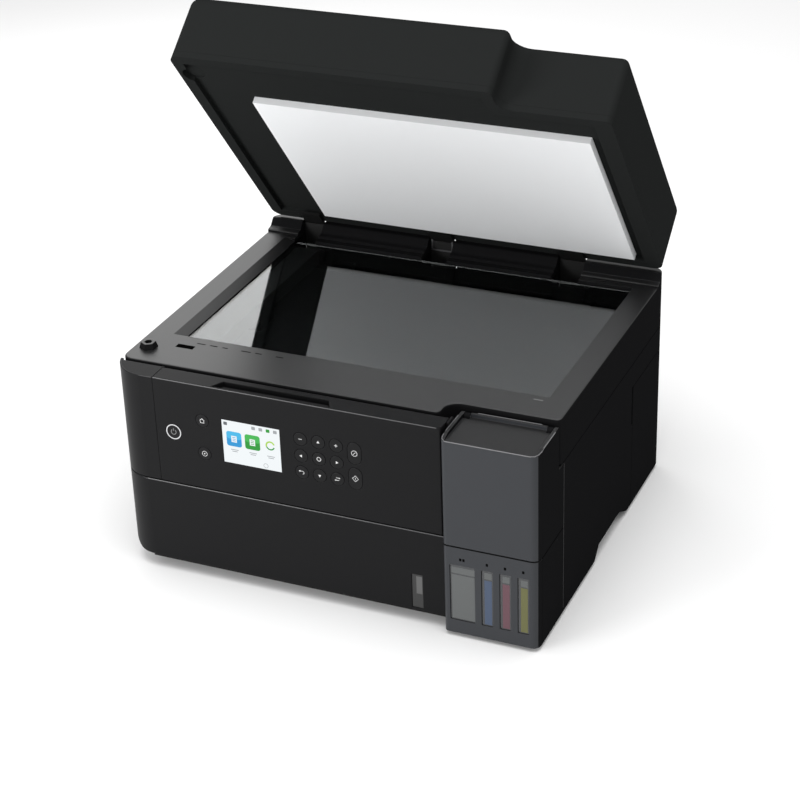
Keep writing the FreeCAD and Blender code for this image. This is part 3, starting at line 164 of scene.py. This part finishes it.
# Near-black for printed marks, and painted shade in the catch's slot.
slot_black = material("slot_black", (0.002, 0.002, 0.002), 0.9, specular=0.0)
glass = clear("scan_glass", (0.8, 0.84, 0.84), 0.02, 1.0)
clear_tank = clear("clear_tank", (0.06, 0.062, 0.065), 0.2, 0.25)
white_print = material("white_print", (0.62, 0.62, 0.62), 0.5)
grey_print = material("grey_print", (0.2, 0.2, 0.2), 0.5)
ring_light = glowing("ring_light", (0.9, 0.9, 0.92), 0.9)
screen_white = glowing("screen_white", (0.86, 0.9, 0.92))
screen_blue = glowing("screen_blue", (0.01, 0.3, 0.66))
screen_green = glowing("screen_green", (0.005, 0.3, 0.02))
screen_sky = glowing("screen_sky", (0.05, 0.47, 0.8))
screen_leaf = glowing("screen_leaf", (0.04, 0.46, 0.07))
screen_grey = glowing("screen_grey", (0.36, 0.38, 0.4))
screen_dark = material("screen_dark", (0.06, 0.07, 0.08), 0.5)
screen_lime = glowing("screen_lime", (0.4, 0.66, 0.08))
ink_shades = {
    "black": material("window_black", (0.09, 0.095, 0.095), 0.3, specular=0.3),
    "cyan": material("window_cyan", (0.05, 0.07, 0.115), 0.3, specular=0.3),
    "magenta": material("window_magenta", (0.105, 0.05, 0.062), 0.3, specular=0.3),
    "yellow": material("window_yellow", (0.105, 0.105, 0.04), 0.3, specular=0.3),
}
cap_paints = {
    "black": material("cap_black_paint", (0.02, 0.02, 0.02), 0.45),
    "cyan": material("cap_cyan_paint", (0.01, 0.22, 0.5), 0.45),
    "magenta": material("cap_magenta_paint", (0.5, 0.01, 0.18), 0.45),
    "yellow": material("cap_yellow_paint", (0.65, 0.5, 0.01), 0.45),
}

FINISHES = {
    "black_case": case_black, "inner_plastic": inner_black, "key_plastic": key_black, "rubber": rubber,
    "steel": steel, "screen": screen_dark, "board": board_green, "tank_grey": tank_grey,
    "clear_tank": clear_tank, "glass": glass, "mat": mat_white, "head_metal": steel,
}
OWN_FINISH = {
    "control_panel": front_black, "cassette_front": front_black, "upper_case": front_black,
    "scanner_bezel": top_black, "tank_cover": tank_grey, "lid_hinges": inner_black, "lid_shell": lid_black,
    "lid_inner": lid_black, "feeder_cover": lid_black, "feeder_tray": lid_black, "level_window": window_grey,
}


def dress_nodes():
    """Gives each node the finish of its own, or else that of its slot."""
    for part in frame["record"]["subparts"]:
        name, slot = part["node"], part["material_slot"]
        paint = OWN_FINISH.get(name) or FINISHES.get(slot) or cap_paints.get(slot.replace("ink_", ""))
        shape = nodes[name]
        shape.data.materials.clear()
        shape.data.materials.append(paint)


# Small pieces

PRINT_LIFT = PRINT_THICK = 0.05
CORNER_STEPS = 6
RING_STEPS, RING_LEAST = 40, 6
BEAD_SIDES = 8
UPRIGHT = 0.9


def piece(name, mesh, paint, body):
    """Adds a mesh to the scene as a piece that moves with a body."""
    made = bpy.data.objects.new(name, mesh)
    bpy.context.scene.collection.objects.link(made)
    made.data.materials.append(paint)
    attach(made, body)


def mesh_from(name, build):
    """A mesh that the function build fills, with its faces turned outwards."""
    data = bpy.data.meshes.new(name)
    grid = bmesh.new()
    build(grid)
    bmesh.ops.recalc_face_normals(grid, faces=grid.faces)
    grid.to_mesh(data)
    grid.free()
    return data


def thicken(grid, faces, depth):
    """Draws faces out by the vector depth."""
    raised = bmesh.ops.extrude_face_region(grid, geom=faces)
    moved = [v for v in raised["geom"] if isinstance(v, bmesh.types.BMVert)]
    bmesh.ops.translate(grid, verts=moved, vec=depth)


def outline_plate(grid, points, place, depth):
    """A flat plate with the outline points, as thick as the vector depth."""
    face = grid.faces.new([grid.verts.new(place(*p)) for p in points])
    thicken(grid, [face], depth)


def join_rows(grid, rows):
    """Walls between closed rows of points, each row as long as the next."""
    for a, b in zip(rows, rows[1:]):
        for k in range(len(a)):
            j = (k + 1) % len(a)
            grid.faces.new((a[k], a[j], b[j], b[k]))


def rounded(x, z, width, height, radius):
    """The outline of a rectangle with round corners."""
    points = []
    for cx, cz, start in ((1, -1, -90), (1, 1, 0), (-1, 1, 90), (-1, -1, 180)):
        for k in range(CORNER_STEPS + 1):
            turn = math.radians(start + 90 * k / CORNER_STEPS)
            points.append((x + cx * (width / 2 - radius) + radius * math.cos(turn),
                           z + cz * (height / 2 - radius) + radius * math.sin(turn)))
    return points


def disc(x, z, radius, steps):
    """The outline of a round dot."""
    return [(x + radius * math.cos(2 * math.pi * k / steps), z + radius * math.sin(2 * math.pi * k / steps))
            for k in range(steps)]


def triangle(x, z, size, turn):
    """The outline of an arrow head that points up, turned to the left by turn in degrees."""
    return [(x + size * math.cos(math.radians(turn + a)), z + size * math.sin(math.radians(turn + a)))
            for a in (90, 210, 330)]


def bar(x, z, width, height):
    """The outline of a rectangle."""
    return [(x - width / 2, z - height / 2), (x + width / 2, z - height / 2), (x + width / 2, z + height / 2),
            (x - width / 2, z + height / 2)]


class FrontFace:
    """Thin printed or lit shapes on a face that looks to the front, placed by X and Z in millimetres."""

    def __init__(self, y, body, slot):
        self.y = y
        self.body = body
        self.slot = slot

    def plate(self, name, points, paint, lift=PRINT_LIFT, thick=PRINT_THICK):
        """A plate with the outline points, lifted off the face."""
        y = self.y - lift * MM

        def build(grid):
            outline_plate(grid, points, lambda x, z: (x * MM, y, z * MM), Vector((0, thick * MM, 0)))
        piece(name, mesh_from(name, build), paint, self.body)

    def ring(self, name, x, z, outer, inner, paint, start=0.0, end=FULL_TURN, lift=PRINT_LIFT):
        """A ring, or the stretch of one between two angles in degrees."""
        y = self.y - lift * MM
        closed = end - start >= FULL_TURN
        count = max(RING_LEAST, int(RING_STEPS * (end - start) / FULL_TURN))
        turns = [math.radians(start + (end - start) * k / count) for k in range(count + (not closed))]

        def row(grid, radius):
            return [grid.verts.new(((x + radius * math.cos(t)) * MM, y, (z + radius * math.sin(t)) * MM))
                    for t in turns]

        def build(grid):
            inside = row(grid, inner)
            outside = row(grid, outer)
            for k in range(count):
                j = (k + 1) % len(turns)
                grid.faces.new((inside[k], inside[j], outside[j], outside[k]))
            thicken(grid, list(grid.faces), Vector((0, PRINT_THICK * MM, 0)))
        piece(name, mesh_from(name, build), paint, self.body)


def node_front(name):
    """The front face in metres, and the middle in millimetres, of a node."""
    low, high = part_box(name)
    return low[1], (low[0] + high[0]) / 2 / MM, (low[2] + high[2]) / 2 / MM


def box_mm(name):
    """The low and the high corner of a node, in millimetres."""
    return [[c / MM for c in corner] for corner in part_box(name)]


def bead(name, points, radius, paint, body):
    """A thin round bead along a line of points in millimetres, used for painted highlights along edges."""
    def build(grid):
        path = [Vector(p) * MM for p in points]
        turns = [2 * math.pi * n / BEAD_SIDES for n in range(BEAD_SIDES)]
        rows = []
        for k, spot in enumerate(path):
            along = (path[min(k + 1, len(path) - 1)] - path[max(k - 1, 0)]).normalized()
            aside = along.cross(Vector((1, 0, 0) if abs(along.z) > UPRIGHT else (0, 0, 1))).normalized()
            over = aside.cross(along)
            rows.append([grid.verts.new(spot + radius * MM * (math.cos(t) * aside + math.sin(t) * over))
                         for t in turns])
        join_rows(grid, rows)
        grid.faces.new(rows[0])
        grid.faces.new(rows[-1])
    piece(name, mesh_from(name, build), paint, body)


# Key symbols

STROKE, FINE_STROKE = 0.5, 0.4
SECOND_LIFT = 0.08


def key_face(name):
    """The face of a key, with the X and Z of its middle."""
    y, x, z = node_front(name)
    return FrontFace(y, name, "key_plastic"), x, z


def left_key_symbols():
    """Symbols of the power, home and help keys."""
    face, x, z = key_face("power_key")
    face.ring("power_ring", x, z, outer=7.1, inner=6.2, paint=ring_light)
    face.ring("power_arc", x, z, outer=2.6, inner=2.1, paint=grey_print, start=125, end=415)
    face.plate("power_bar", bar(x, z + 2.2, width=STROKE, height=2.4), grey_print)

    face, x, z = key_face("home_key")
    eave, half, inner, peak, under = 0.2, 2.4, 1.7, 2.5, 1.8
    face.plate("home_roof", [(x - half, z + eave), (x, z + peak), (x + half, z + eave), (x + inner, z + eave),
                             (x, z + under), (x - inner, z + eave)], white_print)
    half, inner, foot, floor = 1.8, 1.4, 2, 1.6
    face.plate("home_walls", [(x - half, z), (x - half, z - foot), (x + half, z - foot), (x + half, z),
                              (x + inner, z), (x + inner, z - floor), (x - inner, z - floor), (x - inner, z)],
               white_print)

    face, x, z = key_face("help_key")
    face.ring("help_ring", x, z, outer=2.5, inner=2.15, paint=white_print)
    face.plate("help_dot", disc(x, z, radius=0.6, steps=16), white_print)


def cross_key_symbols():
    """Symbols of the keys to the right of the screen."""
    face, x, z = key_face("minus_key")
    face.plate("minus_sign", bar(x, z, width=3.2, height=STROKE), white_print)

    face, x, z = key_face("plus_key")
    length = 2.8
    face.plate("plus_across", bar(x, z, length, STROKE), white_print)
    face.plate("plus_up", bar(x, z, STROKE, length), white_print, lift=SECOND_LIFT)

    for name, turn in (("up_key", 0), ("left_key", 90), ("down_key", 180), ("right_key", 270)):
        face, x, z = key_face(name)
        face.plate(name + "_arrow", triangle(x, z, size=1.5, turn=turn), white_print)

    face, x, z = key_face("ok_key")
    face.ring("ok_mark", x, z, outer=2.0, inner=1.5, paint=white_print)

    face, x, z = key_face("back_key")
    rise = 1.1
    face.ring("back_turn", x + 0.5, z - 0.2, outer=1.5, inner=1.1, paint=white_print, start=-90, end=90)
    face.plate("back_line", bar(x - 0.6, z + rise, width=2.4, height=FINE_STROKE), white_print)
    face.plate("back_head", triangle(x - 2.0, z + rise, size=1.0, turn=90), white_print, lift=SECOND_LIFT)

    face, x, z = key_face("swap_key")
    for side in (-1, 1):
        height = z + side * rise
        face.plate("swap_line_%d" % side, bar(x, height, width=2.8, height=FINE_STROKE), white_print)
        face.plate("swap_head_%d" % side, triangle(x + side * 1.7, height, size=0.9, turn=-90 * side),
                   white_print, lift=SECOND_LIFT)

    face, x, z = key_face("copy_key")
    near, far = 1.1, 1.4
    face.ring("copy_ring", x, z, outer=2.7, inner=2.3, paint=white_print)
    slash = [(x - far, z - near), (x - near, z - far), (x + far, z + near), (x + near, z + far)]
    face.plate("copy_slash", slash, white_print)

    face, x, z = key_face("start_key")
    size = 3.0
    inner = (size - STROKE) / size
    corners = ((0, size), (size, 0), (0, -size), (-size, 0))
    for k in range(4):
        (ax, az), (bx, bz) = corners[k], corners[(k + 1) % 4]
        face.plate("start_edge_%d" % k, [(x + ax, z + az), (x + bx, z + bz), (x + bx * inner, z + bz * inner),
                                         (x + ax * inner, z + az * inner)], white_print)
    face.plate("start_bar", bar(x, z, width=FINE_STROKE, height=1.8), white_print)


# Screen

SCREEN_RIM = 3.2
TILE, TILE_ROUND, TILE_LEVEL = 14.0, 2.2, 0.58
LAYERS = {"page": 0.1, "sheen": 0.12, "sheet": 0.15, "row": 0.2}


def screen_tile(face, name, x, z, paint, light):
    """A coloured tile with a paler upper half and a written sheet on it."""
    face.plate(name + "_sheen", rounded(x, z + TILE / 4, TILE, TILE / 2, TILE_ROUND), light, LAYERS["sheen"])
    face.plate(name + "_sheet", bar(x, z, width=5.0, height=6.0), screen_white, LAYERS["sheet"])
    pitch = 1.6
    for k in range(3):
        face.plate("%s_row_%d" % (name, k), bar(x, z + pitch - pitch * k, width=3.0, height=0.6), paint,
                   LAYERS["row"])


def lcd_picture():
    """The lit page: three tiles with captions, status signs above and a clock below."""
    low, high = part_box("lcd_display")
    face = FrontFace(low[1], "panel", "screen")
    x0, z0 = low[0] / MM + SCREEN_RIM, low[2] / MM + SCREEN_RIM
    x1, z1 = high[0] / MM - SCREEN_RIM, high[2] / MM - SCREEN_RIM
    wide, tall = x1 - x0, z1 - z0
    face.plate("screen_page", bar((x0 + x1) / 2, (z0 + z1) / 2, wide, tall), screen_white)

    tile_z = z0 + TILE_LEVEL * tall
    for name, at, paint, light in (("screen_tile_blue", 0.2, screen_blue, screen_sky),
                                   ("screen_tile_green", 0.52, screen_green, screen_leaf),
                                   ("screen_tile_plain", 0.83, screen_white, None)):
        x = x0 + at * wide
        face.plate(name, rounded(x, tile_z, TILE, TILE, TILE_ROUND), paint, LAYERS["page"])
        if light:
            screen_tile(face, name, x, tile_z, paint, light)
        else:
            face.ring(name + "_swirl", x, tile_z, outer=4.4, inner=3.0, paint=screen_lime, start=20, end=200,
                      lift=LAYERS["sheet"])
            face.ring(name + "_swirl_low", x, tile_z, outer=4.2, inner=3.0, paint=screen_green, start=200,
                      end=340, lift=LAYERS["sheet"])
        caption_drop, caption_pitch, caption_height = 3.2, 1.6, 0.7
        for k, width in enumerate((7.0, 5.0)):
            caption_z = tile_z - TILE / 2 - caption_drop - caption_pitch * k
            face.plate("%s_caption_%d" % (name, k), bar(x, caption_z, width, caption_height), screen_grey,
                       LAYERS["page"])

    sign_width, sign_height, sign_round, sign_drop = 3.4, 3.0, 0.6, 3.2
    first_sign, sign_pitch, green_sign = 0.55, 0.125, 2
    for k in range(4):
        x = x0 + (first_sign + sign_pitch * k) * wide
        face.plate("screen_status_%d" % k, rounded(x, z1 - sign_drop, sign_width, sign_height, sign_round),
                   screen_green if k == green_sign else screen_grey, LAYERS["page"])
    home_inset = 3.4
    face.plate("screen_home", rounded(x0 + home_inset, z1 - sign_drop, sign_width, sign_height, sign_round),
               screen_dark, LAYERS["page"])
    clock_across, clock_rise = 0.73, 3.4
    face.ring("screen_clock", x0 + clock_across * wide, z0 + clock_rise, outer=2.2, inner=1.8,
              paint=screen_grey, lift=LAYERS["page"])


# Windows

def tank_windows():
    """Ink strips seen in the tank's four windows, and the marks above them."""
    front = node_front("tank_front")[0]
    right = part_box("tank_front")[1][0] / MM
    window_low, level = 16.8, 61.5
    spans = {"black": (77.2, 55.3), "cyan": (49.5, 39.5), "magenta": (33.7, 24.0), "yellow": (18.0, 8.4)}
    wide_window, wide_margin, margin = 15, 1.6, 3.6
    behind, shift, gap, pane = 0.75, 0.6, 2, 0.1
    head_rise, head_height = 3.4, 6.0
    face = FrontFace(front + behind * MM, "base", "clear_tank")
    for shade, (far, near) in spans.items():
        x0, x1 = right - far, right - near
        middle, width = (x0 + x1) / 2, x1 - x0
        strip = width - (wide_margin if width > wide_window else margin)
        strip_z, strip_height = (window_low + level) / 2, level - window_low - gap
        face.plate("ink_" + shade, bar(middle + shift, strip_z, strip, strip_height), ink_shades[shade],
                   thick=pane)
        face.plate("ink_top_" + shade, bar(middle + shift, level + head_rise, strip, head_height),
                   ink_shades["black"], thick=pane)
    marks = FrontFace(front, "base", "tank_grey")
    mark_z, mark_pitch = 76.0, 2.8
    for shade, (far, near) in spans.items():
        middle = right - (far + near) / 2
        pair = shade == "black"
        for k in range(2 if pair else 1):
            x = middle - mark_pitch / 2 * pair + mark_pitch * k
            marks.plate("ink_mark_%s_%d" % (shade, k), rounded(x, mark_z, width=2.0, height=2.6, radius=0.5),
                        slot_black)


def level_pane():
    """The paler pane in the cassette's level window."""
    low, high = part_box("level_window")
    face = FrontFace(low[1], "cassette", "clear_tank")
    x = (low[0] + high[0]) / 2 / MM
    shift, drop = 1.6, 12.0
    face.plate("level_pane", bar(x + shift, high[2] / MM - drop, width=5.2, height=17.0), window_pale)


# Painted highlights: thin paler beads along edges

CORNER_TURN = 30.0
CORNER_POINTS = 11
HIGHLIGHT_BEAD_INSET = 0.35
HIGHLIGHT_BEAD = 0.4


def corner_line(left, front, top, first, step):
    """Points round the left front corner, from the angle first on by step, both in degrees."""
    reach = CORNER_TURN - HIGHLIGHT_BEAD_INSET
    line = []
    for k in range(CORNER_POINTS):
        turn = math.radians(first + step * k)
        line.append((left + CORNER_TURN + reach * math.cos(turn),
                     front + CORNER_TURN + reach * math.sin(turn), top - HIGHLIGHT_BEAD_INSET))
    return line


def front_highlights():
    """Paler beads along the top of the cassette, the panel and the left front corner, as painted highlights,
    and a paler plate on the recess's floor as painted light.
    """
    low, high = box_mm("cassette_front")
    left = low[0]
    end_gap, cassette_highlight_bead = 1.0, 0.5
    line = corner_line(left, low[1], high[2], first=180, step=9)
    line.append((high[0] - end_gap, low[1] + HIGHLIGHT_BEAD_INSET, high[2] - HIGHLIGHT_BEAD_INSET))
    bead("cassette_edge", line, cassette_highlight_bead, edge_grey, "cassette")

    low, high = box_mm("control_panel")
    panel_inset, pin_length = 0.25, 1.9
    left_gap, right_gap, corner_gap = 0.4, 3.6, 0.8
    y, z = low[1] + panel_inset, high[2] - panel_inset
    panel_left, panel_right = low[0] + pin_length, high[0] - pin_length
    bead("panel_edge", [(panel_left + left_gap, y, z), (panel_right - right_gap, y, z)], HIGHLIGHT_BEAD, edge_grey,
         "panel")
    line = corner_line(left, low[1], high[2], first=200, step=7)
    line.append((panel_left - corner_gap, low[1] + HIGHLIGHT_BEAD_INSET, high[2] - HIGHLIGHT_BEAD_INSET))
    bead("corner_edge", line, HIGHLIGHT_BEAD, edge_grey, "base")

    # A paler plate on the floor of the finger recess: painted light where the recess lies in shade.
    trough = ((-96.6, 2.4), (11.6, 2.4), (5.6, 12.6), (-90.6, 12.6))
    trough_depth, trough_thick = 4.8, 0.1

    def on_floor(x, deep):
        return x * MM, (low[1] + deep) * MM, (high[2] - trough_depth) * MM

    def recess(grid):
        outline_plate(grid, trough, on_floor, Vector((0, 0, trough_thick * MM)))
    piece("recess_floor", mesh_from("recess_floor", recess), edge_dark, "panel")


def tank_highlights():
    """Paler beads along the rim round the tank cover's deck, and along the seam on the flank behind the tank:
    painted highlights.
    """
    low, high = box_mm("tank_cover")
    inset, drop = 0.2, 2.9
    x0, x1, y, z = low[0] + inset, high[0] - inset, low[1], high[2] - inset
    front = z - drop
    rim = [(x0, y + 39, z), (x0, y + 13, z), (x0, y + 9, z - 0.5), (x0, y + 5, z - 1.5),
           (x0 + 0.6, y + 2.4, z - 2.3), (x0 + 3.4, y + 0.2, front), (x1 - 7.0, y + 0.2, front),
           (x1 - 3.5, y + 1.1, front + 0.3), (x1 - 1.1, y + 3.5, z - 1.9), (x1, y + 7.0, z - 1.0),
           (x1, y + 10.0, z - 0.3), (x1, y + 13, z), (x1, y + 39, z)]
    bead("deck_edge", rim, HIGHLIGHT_BEAD, edge_bright, "tank_cover")
    back, end_gap = y + 47.2, 14
    bead("deck_back_edge", [(x0 + end_gap, back, z), (x1 - end_gap, back, z)], HIGHLIGHT_BEAD, edge_bright,
         "tank_cover")
    seam_x, seam_y, seam_low, seam_high = x1 - 0.1, y + 60.3, 8.0, 147.5
    bead("flank_seam", [(seam_x, seam_y, seam_low), (seam_x, seam_y, seam_high)], HIGHLIGHT_BEAD, edge_dark, "base")


def cable_box_outline():
    """Pale strips along the edges of the cable guide between the lid's hinges: painted highlights."""
    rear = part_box("rear_cover")[1][1] / MM
    hinge_setback, guide_depth, thick = 3.85, 3.2, 0.4
    face = FrontFace((rear - hinge_setback - guide_depth) * MM, "lid", "inner_plastic")
    for name, x, height, wide, tall in (("cable_box_left", -29.6, 195.0, 1.6, 11.0),
                                        ("cable_box_right", -9.4, 195.0, 1.6, 11.0),
                                        ("cable_box_floor", -19.5, 190.3, 21.0, 1.6)):
        face.plate(name, bar(x, height, wide, tall), edge_grey, thick=thick)


# Scanner top

BOSS_SIDES = 6
BOSS_LEVELS = ((8.2, 0.0), (6.4, 5.0), (3.6, 5.0), (3.2, 0.6))
SIZE_MARKS = ((-141, 8), (-129, 7), (-118, 5), (-98, 9), (-86, 6), (-66, 7))


def scanner_fittings():
    """The boss that the lid comes down on, a near-black plate as painted shade in the catch's slot, and the
    paper size marks.
    """
    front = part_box("tank_front")[0][1] / MM
    bezel_rise = 3.8
    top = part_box("scan_glass")[1][2] + bezel_rise * MM
    boss_setback, slot_setback, mark_setback, right_mark_setback = 56.1, 67.0, 76.0, 79.0
    boss_x, boss_y = -181.6, front + boss_setback

    def boss(grid):
        turns = [math.pi / 6 + 2 * math.pi * k / BOSS_SIDES for k in range(BOSS_SIDES)]
        rows = [[grid.verts.new(((boss_x + radius * math.cos(t)) * MM, (boss_y + radius * math.sin(t)) * MM,
                                 top + height * MM)) for t in turns] for radius, height in BOSS_LEVELS]
        join_rows(grid, rows)
        grid.faces.new(rows[-1])
        grid.faces.new(list(reversed(rows[0])))
    piece("lid_rest_boss", mesh_from("lid_rest_boss", boss), top_black, "scanner")

    sunk = 0.3

    def flat(name, points, paint, lift):
        def build(grid):
            outline_plate(grid, points, lambda x, y: (x * MM, y * MM, top - sunk * MM),
                          Vector((0, 0, (sunk + lift) * MM)))
        piece(name, mesh_from(name, build), paint, "scanner")

    slot_lift, mark_lift, mark_height = 0.06, 0.05, 1.2
    slot_x, right_mark_x, right_mark_width = -151.8, 166, 8
    # The catch's slot is a flat near-black plate: painted shade where the hole is.
    flat("catch_slot", bar(slot_x, front + slot_setback, width=16.5, height=6.0), slot_black, slot_lift)
    for k, (x, width) in enumerate(SIZE_MARKS):
        flat("size_mark_%d" % k, bar(x, front + mark_setback, width, mark_height), slot_black, mark_lift)
    flat("size_mark_right", bar(right_mark_x, front + right_mark_setback, right_mark_width, mark_height),
         grey_print, mark_lift)


# Camera, light and floor

def make_camera():
    """The camera that was fitted to the body's straight edges."""
    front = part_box("tank_front")[0][1] / MM
    half_depth = 167.5
    spot = Vector((672.493, -1490.490 + front + half_depth, 990.095)) * MM
    azimuth, elevation, roll = 0.421835, 0.491107, -0.035179
    forward = Vector((-math.sin(azimuth) * math.cos(elevation), math.cos(azimuth) * math.cos(elevation),
                      -math.sin(elevation)))
    side = forward.cross(Vector((0, 0, 1))).normalized()
    up = side.cross(forward)
    right = math.cos(roll) * side + math.sin(roll) * up
    top = -math.sin(roll) * side + math.cos(roll) * up
    data = bpy.data.cameras.new("photo_camera")
    data.sensor_width = 36.0
    data.lens = 93.765
    made = bpy.data.objects.new("photo_camera", data)
    bpy.context.scene.collection.objects.link(made)
    made.matrix_world = Matrix.Translation(spot) @ Matrix((right, top, -forward)).transposed().to_4x4()
    bpy.context.scene.camera = made


def area_light(name, spot, target, size, power):
    """A square light at a spot, turned to its target."""
    data = bpy.data.lights.new(name, "AREA")
    data.shape = "SQUARE"
    data.size = size
    data.energy = power
    made = bpy.data.objects.new(name, data)
    bpy.context.scene.collection.objects.link(made)
    aim = Vector(target) - Vector(spot)
    made.matrix_world = Matrix.Translation(spot) @ aim.to_track_quat("-Z", "Y").to_matrix().to_4x4()


def make_stage():
    """A pale floor, an even white sky and three lights."""
    floor_half, sky_strength = 6.0, 0.65

    def build(grid):
        bmesh.ops.create_grid(grid, x_segments=1, y_segments=1, size=floor_half)
    floor = bpy.data.objects.new("floor", mesh_from("floor", build))
    bpy.context.scene.collection.objects.link(floor)
    floor.data.materials.append(material("floor_white", (0.93, 0.93, 0.93), 0.9, specular=0.1))
    world = bpy.data.worlds.new("studio")
    bpy.context.scene.world = world
    world.use_nodes = True
    sky = world.node_tree.nodes["Background"]
    sky.inputs["Color"].default_value = (1.0, 1.0, 1.0, 1.0)
    sky.inputs["Strength"].default_value = sky_strength
    area_light("key_light", (-0.85, 1.0, 0.8), (-0.05, 0, 0.2), size=0.7, power=2.8)
    area_light("top_light", (0.3, -0.4, 2.6), (0, 0, 0.1), size=2.2, power=46)
    area_light("mat_light", (-1.2, -1.7, 0.4), (-0.05, 0.1, 0.32), size=0.9, power=30)
    bpy.context.scene.view_settings.view_transform = "Standard"


dress_nodes()
left_key_symbols()
cross_key_symbols()
lcd_picture()
tank_windows()
level_pane()
front_highlights()
tank_highlights()
cable_box_outline()
scanner_fittings()
make_camera()
make_stage()
